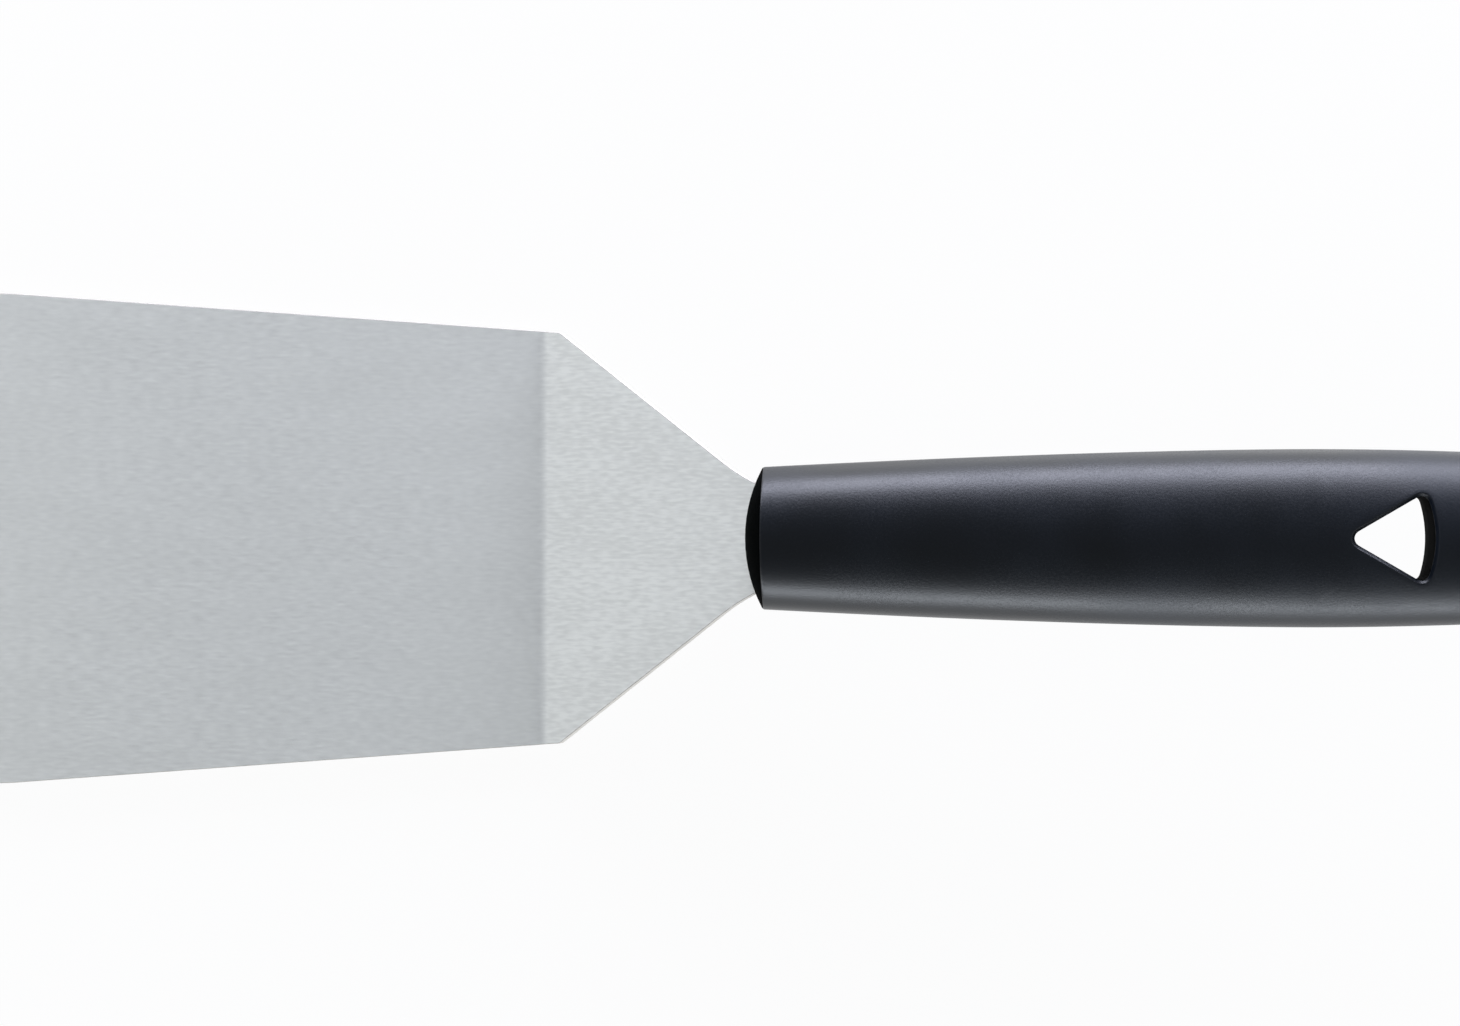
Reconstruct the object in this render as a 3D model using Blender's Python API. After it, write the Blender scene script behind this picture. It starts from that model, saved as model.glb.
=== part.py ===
"""An offset spatula: one cranked stainless sheet whose tang is held in a two-shot plastic handle.

Sizes are in millimetres and become metres as each mesh is made. The blade lies flat with its tip towards -X,
the handle rises towards +X, and the origin is the centre of the flat blade's underside.
"""

import math

import bmesh
import bpy
from mathutils import Matrix, Vector

MM = 0.001

# The sheet: blade, shoulder and tang in one piece, measured along its middle layer
SHEET_THICKNESS = 1.8
BLADE_LENGTH = 120.0  # tip to crank line
BLADE_WIDTH = 75.0  # widest, across the rounded tip
TIP_RADIUS = 36.0
HEEL_WIDTH = 63.6  # across the two corners behind the crank
HEEL_SETBACK = 2.9  # crank line to those corners
HEEL_CORNER_RADIUS = 0.8
SHOULDER_EDGE_ANGLE = math.radians(37.2)
CRANK_ANGLE = math.radians(28.0)
CRANK_RADIUS = 4.5
SHOULDER_LENGTH = 37.0  # crank line to the second bend, hidden in the handle
NECK_RADIUS = 35.0
NECK_BEND_RADIUS = 6.0
TANG_WIDTH = 9.5
TANG_LENGTH = 60.0
TANG_END_RADIUS = 2.5
TANG_HOLE_DIAMETER = 4.5
TANG_HOLE_COUNT = 3
TANG_HOLE_PITCH = 14.0
TANG_HOLE_END_MARGIN = 8.0

# The grip: the outer moulding, measured along its own axis from the front of the nose
HANDLE_ANGLE = math.radians(10.0)  # rise of the handle's axis over the flat blade
NOSE_INSET = 4.0  # front of the nose to the second bend
GRIP_LENGTH = 125.0
NOSE_WIDTH = 21.6
NOSE_THICKNESS = 19.3
NOSE_DOME_RADIUS = 23.2
NOSE_EDGE_ROUNDING = 0.35
PALM_WIDTH = 27.4
PALM_THICKNESS = 21.4
PALM_POSITION = 86.6
SWELL_POWER = 1.6  # how the swell falls away from palm to nose
BUTT_WIDTH = 25.2
BUTT_THICKNESS = 19.6
BUTT_DOME_RADIUS = 30.0
BUTT_EDGE_ROUNDING = 3.5

# The hang hole: a rounded triangle, smallest at the middle of the handle's thickness
HANG_HOLE_LENGTH = 12.9  # corner point of the two straight sides to the crown of the third
HANG_HOLE_APEX_ANGLE = math.radians(60.0)
HANG_HOLE_CORNER_RADIUS = 1.0
HANG_HOLE_CROWN_RADIUS = 18.0
HANG_HOLE_FROM_BUTT = 19.95
HANG_HOLE_DRAFT = math.radians(1.4)

# The core: the inner moulding round the tang, with grooves that key it into the grip
CORE_FRONT = 8.0  # front of the nose to the front of the core
CORE_SKIN = 3.0  # grip wall over the core
CORE_END_WALL = 5.0
CORE_GROOVE_COUNT = 4
CORE_GROOVE_WIDTH = 4.0
CORE_GROOVE_DEPTH = 1.2

FIT_GAP = 0.3
CUT_OVERSHOOT = 2.0  # how far a cutter runs past the face that it leaves by

# Fineness of the meshes
GRIP_SIDES = 48
CORE_SIDES = 32
DOME_RINGS = 4
BODY_RINGS = 18
ROUNDING_SEGMENTS = 3
ARC_STEP = math.radians(8.0)
BEND_SEGMENTS = 6
PIN_SIDES = 20
DOME_FIT_PASSES = 12
SHARP_ANGLE = math.radians(35.0)

STEEL = ("brushed_stainless", (0.50, 0.52, 0.54), 0.32, 1.0)
CORE_PLASTIC = ("core_polypropylene", (0.10, 0.10, 0.11), 0.50, 0.0)
GRIP_PLASTIC = ("satin_black_grip", (0.010, 0.012, 0.016), 0.38, 0.0)


def clear_scene():
    for old in list(bpy.data.objects):
        bpy.data.objects.remove(old, do_unlink=True)


def make_material(name, colour, roughness, metallic):
    material = bpy.data.materials.new(name)
    material.use_nodes = True
    shader = material.node_tree.nodes["Principled BSDF"]
    shader.inputs["Base Color"].default_value = (*colour, 1.0)
    shader.inputs["Roughness"].default_value = roughness
    shader.inputs["Metallic"].default_value = metallic
    return material


def make_object(name, shape, parent=None):
    """A mesh object from a bmesh in millimetres, with its faces turned outwards."""
    bmesh.ops.recalc_face_normals(shape, faces=shape.faces)
    bmesh.ops.scale(shape, vec=(MM, MM, MM), verts=shape.verts)
    mesh = bpy.data.meshes.new(name)
    shape.to_mesh(mesh)
    shape.free()
    made = bpy.data.objects.new(name, mesh)
    made.parent = parent
    bpy.context.collection.objects.link(made)
    return made


def as_cutter(made):
    made.hide_render = True
    made.display_type = "WIRE"
    return made


def cut(target, cutter):
    boolean = target.modifiers.new(cutter.name, "BOOLEAN")
    boolean.operation = "DIFFERENCE"
    boolean.solver = "EXACT"
    boolean.object = cutter


def finish(made, look):
    made.data.materials.append(make_material(*look))
    made.data.shade_smooth()
    made.data.set_sharp_from_angle(angle=SHARP_ANGLE)


def arc(centre, radius, start, end):
    """Points of a flat arc, both ends included."""
    steps = max(2, math.ceil(abs(end - start) / ARC_STEP))
    angles = [start + (end - start) * i / steps for i in range(steps + 1)]
    return [centre + radius * Vector((math.cos(a), math.sin(a))) for a in angles]


def half_sheet_outline(grow):
    """The flat sheet's +Y edge from tip to tang end, moved outwards by grow; X is measured from the crank."""
    tip_centre = Vector((TIP_RADIUS - BLADE_LENGTH, BLADE_WIDTH / 2 - TIP_RADIUS))
    heel = Vector((HEEL_SETBACK, HEEL_WIDTH / 2))
    to_heel = heel - tip_centre
    side_normal = math.atan2(to_heel.y, to_heel.x) + math.acos(TIP_RADIUS / to_heel.length)
    tip = arc(tip_centre, TIP_RADIUS + grow, math.pi, side_normal)

    # The corner's arc touches the blade's side and the shoulder's edge.
    shoulder_normal = math.pi / 2 - SHOULDER_EDGE_ANGLE
    corner_way = (side_normal + shoulder_normal) / 2
    corner_depth = HEEL_CORNER_RADIUS / math.cos((side_normal - shoulder_normal) / 2)
    corner_centre = heel - corner_depth * Vector((math.cos(corner_way), math.sin(corner_way)))
    corner = arc(corner_centre, HEEL_CORNER_RADIUS + grow, side_normal, shoulder_normal)

    fillet_drop = NECK_RADIUS * (1 - math.cos(SHOULDER_EDGE_ANGLE))
    fillet_start = HEEL_WIDTH / 2 - TANG_WIDTH / 2 - fillet_drop
    fillet_end = HEEL_SETBACK + fillet_start / math.tan(SHOULDER_EDGE_ANGLE)
    fillet_end += NECK_RADIUS * math.sin(SHOULDER_EDGE_ANGLE)
    neck_centre = Vector((fillet_end, TANG_WIDTH / 2 + NECK_RADIUS))
    neck = arc(neck_centre, NECK_RADIUS - grow, -math.pi / 2 - SHOULDER_EDGE_ANGLE, -math.pi / 2)

    tang_end = SHOULDER_LENGTH + TANG_LENGTH
    end_centre = Vector((tang_end - TANG_END_RADIUS, TANG_WIDTH / 2 - TANG_END_RADIUS))
    end = arc(end_centre, TANG_END_RADIUS + grow, math.pi / 2, 0)
    return [*tip, *corner, *neck, *end]


def bend_steps(middle, angle, radius):
    """Distances along the sheet where one bend's arc starts, ends and is divided."""
    reach = radius * abs(angle) / 2
    return [middle - reach + 2 * reach * i / BEND_SEGMENTS for i in range(BEND_SEGMENTS + 1)]


def all_bend_steps():
    """The crank's steps and the second bend's steps."""
    crank = bend_steps(0, CRANK_ANGLE, CRANK_RADIUS)
    neck = bend_steps(SHOULDER_LENGTH, CRANK_ANGLE - HANDLE_ANGLE, NECK_BEND_RADIUS)
    return crank, neck


def bent(distance):
    """(x, z, slope) of the sheet's middle layer at a distance from the crank line along it."""
    crank, neck = all_bend_steps()
    turn = min(max(distance - crank[0], 0), crank[-1] - crank[0]) / CRANK_RADIUS
    x = min(distance, crank[0]) + CRANK_RADIUS * math.sin(turn)
    z = CRANK_RADIUS * (1 - math.cos(turn))
    rise = max(min(distance, neck[0]) - crank[-1], 0)
    x += rise * math.cos(turn)
    z += rise * math.sin(turn)
    back = min(max(distance - neck[0], 0), neck[-1] - neck[0]) / NECK_BEND_RADIUS
    slope = turn - back
    x += NECK_BEND_RADIUS * (math.sin(turn) - math.sin(slope))
    z += NECK_BEND_RADIUS * (math.cos(slope) - math.cos(turn))
    run = max(distance - neck[-1], 0)
    return x + run * math.cos(slope), z + run * math.sin(slope), slope


def sheet(name, grow):
    """The bent sheet, with grow added all round its outline and on both faces."""
    upper = half_sheet_outline(grow)
    lower = [Vector((p.x, -p.y)) for p in reversed(upper)]
    shape = bmesh.new()
    shape.faces.new([shape.verts.new((p.x, p.y, 0)) for p in upper + lower])
    for steps in all_bend_steps():
        for step in steps:
            bmesh.ops.bisect_plane(
                shape,
                geom=[*shape.verts, *shape.edges, *shape.faces],
                plane_co=(step, 0, 0),
                plane_no=(1, 0, 0),
            )
    for vert in shape.verts:
        x, z, _ = bent(vert.co.x)
        vert.co = (x + BLADE_LENGTH / 2, vert.co.y, z + SHEET_THICKNESS / 2)
    made = make_object(name, shape)
    solidify = made.modifiers.new("sheet_thickness", "SOLIDIFY")
    solidify.thickness = (SHEET_THICKNESS + 2 * grow) * MM
    solidify.offset = 0
    solidify.use_even_offset = True
    return made


def handle_axis():
    """An empty at the front of the nose, its X along the handle and its Z square to the tang."""
    x, z, slope = bent(SHOULDER_LENGTH + TANG_LENGTH)
    run = TANG_LENGTH + NOSE_INSET
    empty = bpy.data.objects.new("handle_axis", None)
    empty.location = (
        (x - run * math.cos(slope) + BLADE_LENGTH / 2) * MM,
        0,
        (z - run * math.sin(slope) + SHEET_THICKNESS / 2) * MM,
    )
    empty.rotation_euler = (0, -slope, 0)
    bpy.context.collection.objects.link(empty)
    return empty


def grip_half_sizes(along):
    """Half width and half thickness of the grip's oval section at a distance from the nose."""
    if along < PALM_POSITION:
        fall = ((PALM_POSITION - along) / PALM_POSITION) ** SWELL_POWER
        end_width, end_thickness = NOSE_WIDTH, NOSE_THICKNESS
    else:
        fall = ((along - PALM_POSITION) / (GRIP_LENGTH - PALM_POSITION)) ** 2
        end_width, end_thickness = BUTT_WIDTH, BUTT_THICKNESS
    width = PALM_WIDTH - (PALM_WIDTH - end_width) * fall
    thickness = PALM_THICKNESS - (PALM_THICKNESS - end_thickness) * fall
    return width / 2, thickness / 2


def dome_edge(turn, tip, inwards, radius):
    """(along, y, z) where a ball-shaped end, whose pole is at tip, meets the grip's side."""
    along = tip
    for _ in range(DOME_FIT_PASSES):
        half_width, half_thickness = grip_half_sizes(along)
        y, z = half_width * math.cos(turn), half_thickness * math.sin(turn)
        along = tip + inwards * (radius - math.sqrt(radius**2 - y**2 - z**2))
    return along, y, z


def dome_rings(shape, tip, inwards, radius):
    """Rings of points over one domed end, from beside its pole to its edge, and the pole itself."""
    pole = shape.verts.new((tip, 0, 0))
    rings = []
    for i in range(1, DOME_RINGS + 1):
        ring = []
        for side in range(GRIP_SIDES):
            _, y, z = dome_edge(math.tau * side / GRIP_SIDES, tip, inwards, radius)
            y, z = y * i / DOME_RINGS, z * i / DOME_RINGS
            along = tip + inwards * (radius - math.sqrt(radius**2 - y**2 - z**2))
            ring.append(shape.verts.new((along, y, z)))
        rings.append(ring)
    return pole, rings


def join_rings(shape, rings):
    for first, second in zip(rings, rings[1:]):
        for i in range(len(first)):
            shape.faces.new((first[i - 1], first[i], second[i], second[i - 1]))


def fan(shape, pole, ring):
    for i in range(len(ring)):
        shape.faces.new((pole, ring[i - 1], ring[i]))


def loop_edges(shape, ring):
    """The edges that join each point of a closed ring to the one before it."""
    return [shape.edges.get((ring[i - 1], ring[i])) for i in range(len(ring))]


def grip_body(parent):
    """The grip's outside: a domed nose, a swelling oval body and a domed butt with a well rounded edge."""
    shape = bmesh.new()
    nose, front = dome_rings(shape, 0, 1, NOSE_DOME_RADIUS)
    butt, back = dome_rings(shape, GRIP_LENGTH, -1, BUTT_DOME_RADIUS)
    sides = []
    for i in range(1, BODY_RINGS):
        ring = []
        for start, end in zip(front[-1], back[-1]):
            along = start.co.x + (end.co.x - start.co.x) * i / BODY_RINGS
            turn = math.tau * len(ring) / GRIP_SIDES
            half_width, half_thickness = grip_half_sizes(along)
            y, z = half_width * math.cos(turn), half_thickness * math.sin(turn)
            ring.append(shape.verts.new((along, y, z)))
        sides.append(ring)
    join_rings(shape, [*front, *sides, *reversed(back)])
    fan(shape, nose, front[0])
    fan(shape, butt, back[0])
    for edge_ring, rounding in ((front[-1], NOSE_EDGE_ROUNDING), (back[-1], BUTT_EDGE_ROUNDING)):
        bmesh.ops.bevel(
            shape,
            geom=loop_edges(shape, edge_ring),
            offset=rounding,
            offset_type="WIDTH",
            segments=ROUNDING_SEGMENTS,
            profile=0.5,
            affect="EDGES",
        )
    return make_object("handle_grip", shape, parent)


def core_stations(grow):
    """(along, inset) pairs of the core's profile: inset is the wall left outside it, less in its grooves."""
    start = CORE_FRONT - grow
    end = NOSE_INSET + TANG_LENGTH + CORE_END_WALL + grow
    stations = [(start, CORE_SKIN - grow)]
    half_groove = CORE_GROOVE_WIDTH / 2 - grow
    pitch = (end - start) / (CORE_GROOVE_COUNT + 1)
    for i in range(1, CORE_GROOVE_COUNT + 1):
        middle = start + pitch * i
        floor = CORE_SKIN - grow + CORE_GROOVE_DEPTH
        stations.append((middle - half_groove, CORE_SKIN - grow))
        stations.append((middle - half_groove, floor))
        stations.append((middle + half_groove, floor))
        stations.append((middle + half_groove, CORE_SKIN - grow))
    stations.append((end, CORE_SKIN - grow))
    return stations


def core_body(name, grow, parent):
    """The core's outside, with grow added to it all over for the hollow that holds it."""
    shape = bmesh.new()
    rings = []
    for along, inset in core_stations(grow):
        half_width, half_thickness = grip_half_sizes(along)
        ring = []
        for side in range(CORE_SIDES):
            turn = math.tau * side / CORE_SIDES
            y = (half_width - inset) * math.cos(turn)
            z = (half_thickness - inset) * math.sin(turn)
            ring.append(shape.verts.new((along, y, z)))
        rings.append(ring)
    join_rings(shape, rings)
    shape.faces.new(rings[0])
    shape.faces.new(rings[-1])
    return make_object(name, shape, parent)


def tang_pins(name, shrink, parent):
    """One upright round bar for each hole of the tang, thinner than the hole by shrink all round."""
    shape = bmesh.new()
    last = NOSE_INSET + TANG_LENGTH - TANG_HOLE_END_MARGIN
    for i in range(TANG_HOLE_COUNT):
        bmesh.ops.create_cone(
            shape,
            cap_ends=True,
            segments=PIN_SIDES,
            radius1=TANG_HOLE_DIAMETER / 2 - shrink,
            radius2=TANG_HOLE_DIAMETER / 2 - shrink,
            depth=SHEET_THICKNESS + 2 * CUT_OVERSHOOT,
            matrix=Matrix.Translation((last - TANG_HOLE_PITCH * i, 0, 0)),
        )
    return as_cutter(make_object(name, shape, parent))


def hang_hole_outline(grow):
    """The rounded triangle in the handle's plane, moved outwards by grow, its apex towards the nose."""
    crown = GRIP_LENGTH - HANG_HOLE_FROM_BUTT
    crown_centre = Vector((crown - HANG_HOLE_CROWN_RADIUS, 0))
    half_apex = HANG_HOLE_APEX_ANGLE / 2
    apex_centre = Vector((crown - HANG_HOLE_LENGTH + HANG_HOLE_CORNER_RADIUS / math.sin(half_apex), 0))
    # The base corner's centre lies along the side's direction, its own radius inside the crowned side.
    way = Vector((math.cos(half_apex), math.sin(half_apex)))
    between = apex_centre - crown_centre
    ahead = between.dot(way)
    reach = HANG_HOLE_CROWN_RADIUS - HANG_HOLE_CORNER_RADIUS
    run = math.sqrt(ahead**2 - between.length_squared + reach**2) - ahead
    corner_centre = apex_centre + run * way
    crown_turn = math.atan2(corner_centre.y, corner_centre.x - crown_centre.x)

    radius = HANG_HOLE_CORNER_RADIUS + grow
    side_turn = math.pi / 2 + half_apex
    corner = arc(corner_centre, radius, side_turn, crown_turn)
    crowned = arc(crown_centre, HANG_HOLE_CROWN_RADIUS + grow, crown_turn, -crown_turn)
    opposite = [Vector((p.x, -p.y)) for p in reversed(corner)]
    apex = arc(apex_centre, radius, math.tau - side_turn, side_turn)
    return [*corner, *crowned[1:-1], *opposite, *apex]


def hang_hole(parent):
    """The hole's cutter: it opens from the middle of the handle towards both faces."""
    shape = bmesh.new()
    reach = PALM_THICKNESS / 2 + CUT_OVERSHOOT
    rings = []
    for height in (-reach, 0, reach):
        outline = hang_hole_outline(abs(height) * math.tan(HANG_HOLE_DRAFT))
        rings.append([shape.verts.new((p.x, p.y, height)) for p in outline])
    join_rings(shape, rings)
    shape.faces.new(rings[0])
    shape.faces.new(rings[-1])
    return as_cutter(make_object("hang_hole_cutter", shape, parent))


def build():
    clear_scene()
    axis = handle_axis()

    blade = sheet("blade", 0)
    cut(blade, tang_pins("tang_hole_cutter", 0, axis))
    finish(blade, STEEL)

    slot = as_cutter(sheet("tang_slot_cutter", FIT_GAP))
    cut(slot, tang_pins("tang_pin_keeper", FIT_GAP, axis))

    core = core_body("handle_core", 0, axis)
    cut(core, slot)
    finish(core, CORE_PLASTIC)

    grip = grip_body(axis)
    cut(grip, as_cutter(core_body("core_hollow_cutter", FIT_GAP, axis)))
    cut(grip, slot)
    cut(grip, hang_hole(axis))
    finish(grip, GRIP_PLASTIC)


build()
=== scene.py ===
# %% [markdown]
# # Dressing an offset spatula
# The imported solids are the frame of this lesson: their sizes and places are settled and never change.
# What is left to make is what a cook sees and touches: a cranked sheet of ground stainless steel, and the
# satin black grip that was moulded round its tang. Loading the solids first means that each surface below
# can be set against them.

# %% Load the solids
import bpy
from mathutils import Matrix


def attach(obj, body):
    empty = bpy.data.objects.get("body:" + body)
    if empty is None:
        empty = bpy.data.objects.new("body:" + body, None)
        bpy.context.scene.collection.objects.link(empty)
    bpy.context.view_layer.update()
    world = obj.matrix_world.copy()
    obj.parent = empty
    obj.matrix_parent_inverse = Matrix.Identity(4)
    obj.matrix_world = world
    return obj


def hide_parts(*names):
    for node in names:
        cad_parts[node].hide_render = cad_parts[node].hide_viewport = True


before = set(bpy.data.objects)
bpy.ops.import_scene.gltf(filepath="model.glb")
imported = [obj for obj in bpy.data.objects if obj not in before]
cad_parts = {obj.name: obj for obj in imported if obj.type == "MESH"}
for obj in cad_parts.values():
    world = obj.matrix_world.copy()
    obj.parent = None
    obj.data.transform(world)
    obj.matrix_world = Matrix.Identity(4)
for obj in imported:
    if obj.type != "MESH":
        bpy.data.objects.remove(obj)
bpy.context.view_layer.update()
print("solids:", sorted(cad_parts))

# %% [markdown]
# ## The blank: blade, shoulder and tang in one outline
# The real sheet is stamped flat before it is folded. So the outline is drawn flat too, as a few straight
# edges and arcs: a nearly half-round tip, a small corner behind the fold, a hollow neck and a narrow
# tang. A traced list of points would look the same, but arcs keep the true radii and can be offset
# exactly, which the edges need later.

# %% Sizes of the sheet in millimetres
import math

import bmesh
import bpy
import numpy as np
from mathutils import Matrix, Vector

MM = 0.001
SHEET_THICKNESS = 1.8
BLADE_LENGTH = 120.0
BLADE_WIDTH = 75.0
TIP_RADIUS = 36.0
HEEL_WIDTH = 63.6
HEEL_SETBACK = 2.9
HEEL_CORNER_RADIUS = 0.8
SHOULDER_EDGE_ANGLE = math.radians(37.2)
SHOULDER_LENGTH = 37.0
NECK_RADIUS = 35.0
TANG_WIDTH = 9.5
TANG_LENGTH = 60.0
TANG_END_RADIUS = 2.5
print(f"blank: {BLADE_LENGTH + SHOULDER_LENGTH + TANG_LENGTH:.0f} mm long, {BLADE_WIDTH:.0f} mm wide")

# %% The blank's outline
ARC_CHORD = 0.8
LEAST_ARC_STEPS = 6


def arc(centre, radius, start, end, grow=0.0):
    """Points of a flat arc, both ends included. The offset grow leaves their number as it is."""
    steps = max(LEAST_ARC_STEPS, math.ceil(abs(end - start) * radius / ARC_CHORD))
    angles = [start + (end - start) * i / steps for i in range(steps + 1)]
    return [centre + (radius + grow) * Vector((math.cos(a), math.sin(a))) for a in angles]


def blank_outline(grow):
    """The blank's edge moved outwards by grow, X from the fold line and Y across the sheet."""
    tip_centre = Vector((TIP_RADIUS - BLADE_LENGTH, BLADE_WIDTH / 2 - TIP_RADIUS))
    heel = Vector((HEEL_SETBACK, HEEL_WIDTH / 2))
    to_heel = heel - tip_centre
    side_turn = math.atan2(to_heel.y, to_heel.x) + math.acos(TIP_RADIUS / to_heel.length)
    tip = arc(tip_centre, TIP_RADIUS, math.pi, side_turn, grow)

    shoulder_turn = math.pi / 2 - SHOULDER_EDGE_ANGLE
    middle_turn = (side_turn + shoulder_turn) / 2
    corner_depth = HEEL_CORNER_RADIUS / math.cos((side_turn - shoulder_turn) / 2)
    corner_centre = heel - corner_depth * Vector((math.cos(middle_turn), math.sin(middle_turn)))
    corner = arc(corner_centre, HEEL_CORNER_RADIUS, side_turn, shoulder_turn, grow)

    neck_drop = NECK_RADIUS * (1 - math.cos(SHOULDER_EDGE_ANGLE))
    straight_drop = (HEEL_WIDTH - TANG_WIDTH) / 2 - neck_drop
    neck_end = HEEL_SETBACK + straight_drop / math.tan(SHOULDER_EDGE_ANGLE)
    neck_end += NECK_RADIUS * math.sin(SHOULDER_EDGE_ANGLE)
    neck_centre = Vector((neck_end, TANG_WIDTH / 2 + NECK_RADIUS))
    neck = arc(neck_centre, NECK_RADIUS, -math.pi / 2 - SHOULDER_EDGE_ANGLE, -math.pi / 2, -grow)

    tang_end = SHOULDER_LENGTH + TANG_LENGTH
    end_centre = Vector((tang_end - TANG_END_RADIUS, TANG_WIDTH / 2 - TANG_END_RADIUS))
    end = arc(end_centre, TANG_END_RADIUS, math.pi / 2, 0, grow)
    half = [*tip, *corner, *neck, *end]
    return half + [Vector((p.x, -p.y)) for p in reversed(half)]


print("points round the blank:", len(blank_outline(0)))

# %% [markdown]
# ## Folding the blank
# A press folds the blank twice: up by 28 degrees at the crank, and back down inside the handle, so that
# the tang runs along the handle's axis. A Simple Deform modifier bends only one stretch of a mesh. A
# small function of the distance along the sheet does both folds exactly, and it tells where the handle
# sits as well.

# %% The fold
CRANK_ANGLE = math.radians(28.0)
CRANK_RADIUS = 4.5
HANDLE_ANGLE = math.radians(10.0)
NECK_BEND_RADIUS = 6.0
NOSE_INSET = 4.0
CRANK_REACH = CRANK_RADIUS * CRANK_ANGLE / 2
NECK_REACH = NECK_BEND_RADIUS * (CRANK_ANGLE - HANDLE_ANGLE) / 2


def folded(distance):
    """(x, z, slope) of the sheet's middle layer at a distance from the crank line."""
    turn = min(max(distance + CRANK_REACH, 0), 2 * CRANK_REACH) / CRANK_RADIUS
    rise = max(min(distance, SHOULDER_LENGTH - NECK_REACH) - CRANK_REACH, 0)
    back = min(max(distance - SHOULDER_LENGTH + NECK_REACH, 0), 2 * NECK_REACH) / NECK_BEND_RADIUS
    slope = turn - back
    run = max(distance - SHOULDER_LENGTH - NECK_REACH, 0)
    x = min(distance, -CRANK_REACH) + CRANK_RADIUS * math.sin(turn) + rise * math.cos(turn)
    x += NECK_BEND_RADIUS * (math.sin(turn) - math.sin(slope)) + run * math.cos(slope)
    z = CRANK_RADIUS * (1 - math.cos(turn)) + rise * math.sin(turn)
    z += NECK_BEND_RADIUS * (math.cos(slope) - math.cos(turn)) + run * math.sin(slope)
    return x + BLADE_LENGTH / 2, z + SHEET_THICKNESS / 2, slope


def handle_frame():
    """The handle's own frame, in metres: origin at the front of the nose, X along the tang."""
    x, z, slope = folded(SHOULDER_LENGTH + TANG_LENGTH)
    run = TANG_LENGTH + NOSE_INSET
    nose = Vector((x - run * math.cos(slope), 0, z - run * math.sin(slope)))
    return Matrix.Translation(nose * MM) @ Matrix.Rotation(-slope, 4, "Y")


HANDLE = handle_frame()
print("front of the nose, mm:", [round(x / MM, 2) for x in HANDLE.translation])

# %% [markdown]
# ## A solid sheet with eased edges
# Stamped edges are tumbled until they no longer cut, which leaves a round of about a tenth of a
# millimetre. Without it the sheet would look like cut paper. A Bevel modifier could add it, but the
# outline can be offset exactly, so the round is built as rings. One more ring just inside it keeps the
# flat face truly flat when it is shaded smooth. The blank is sliced across into strips before it is
# folded, closely at the folds.

# %% Slices and rings of the sheet
EDGE_EASING = 0.1
EDGE_STEPS = 4
FLAT_MARGIN = 0.04
FOLD_STEPS = 12
FOLD_MARGIN = 0.8
STRIP = 7.5


def slice_places():
    """Distances from the crank line where the blank is sliced across."""
    places = list(np.arange(STRIP - BLADE_LENGTH, SHOULDER_LENGTH + TANG_LENGTH, STRIP))
    for middle, reach in ((0, CRANK_REACH), (SHOULDER_LENGTH, NECK_REACH)):
        places = [p for p in places if abs(p - middle) > reach + 2 * FOLD_MARGIN]
        places += list(np.linspace(middle - reach, middle + reach, FOLD_STEPS + 1))
        places += [middle - reach - FOLD_MARGIN, middle + reach + FOLD_MARGIN]
    return sorted(places)


def edge_rings(grow):
    """(outward offset, height) of each ring over the edge, from the upper face to the lower one."""
    half, easing = SHEET_THICKNESS / 2 + grow, EDGE_EASING + grow
    turns = [math.pi / 2 * i / EDGE_STEPS for i in range(EDGE_STEPS + 1)]
    over = [(grow - easing * (1 - math.sin(t)), half - easing * (1 - math.cos(t))) for t in turns]
    upper = [(grow - easing - FLAT_MARGIN, half), *over]
    return upper + [(offset, -height) for offset, height in reversed(upper)]


print("slices:", len(slice_places()), "edge rings:", len(edge_rings(0)))

# %% Make the folded sheet
SHARP_ANGLE = math.radians(38.0)
FLAT_PATTERN = "flat_pattern"
GROUND, SHEARED = 0, 1  # numbers of the sheet's two finishes


def join_rings(shape, rings, finish=0):
    """Faces between each closed ring of points and the next, with the number of their finish."""
    for first, second in zip(rings, rings[1:]):
        for i in range(len(first)):
            face = shape.faces.new((first[i - 1], first[i], second[i], second[i - 1]))
            face.material_index = finish


def make_piece(name, shape, place=Matrix.Identity(4), finishes=1):
    """A smooth-shaded object from a bmesh in millimetres, faces outwards, with empty material slots."""
    bmesh.ops.recalc_face_normals(shape, faces=shape.faces)
    shape.transform(place @ Matrix.Scale(MM, 4))
    mesh = bpy.data.meshes.new(name)
    shape.to_mesh(mesh)
    shape.free()
    for _ in range(finishes):
        mesh.materials.append(None)
    mesh.shade_smooth()
    mesh.set_sharp_from_angle(angle=SHARP_ANGLE)
    piece = bpy.data.objects.new(name, mesh)
    bpy.context.scene.collection.objects.link(piece)
    return piece


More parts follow.
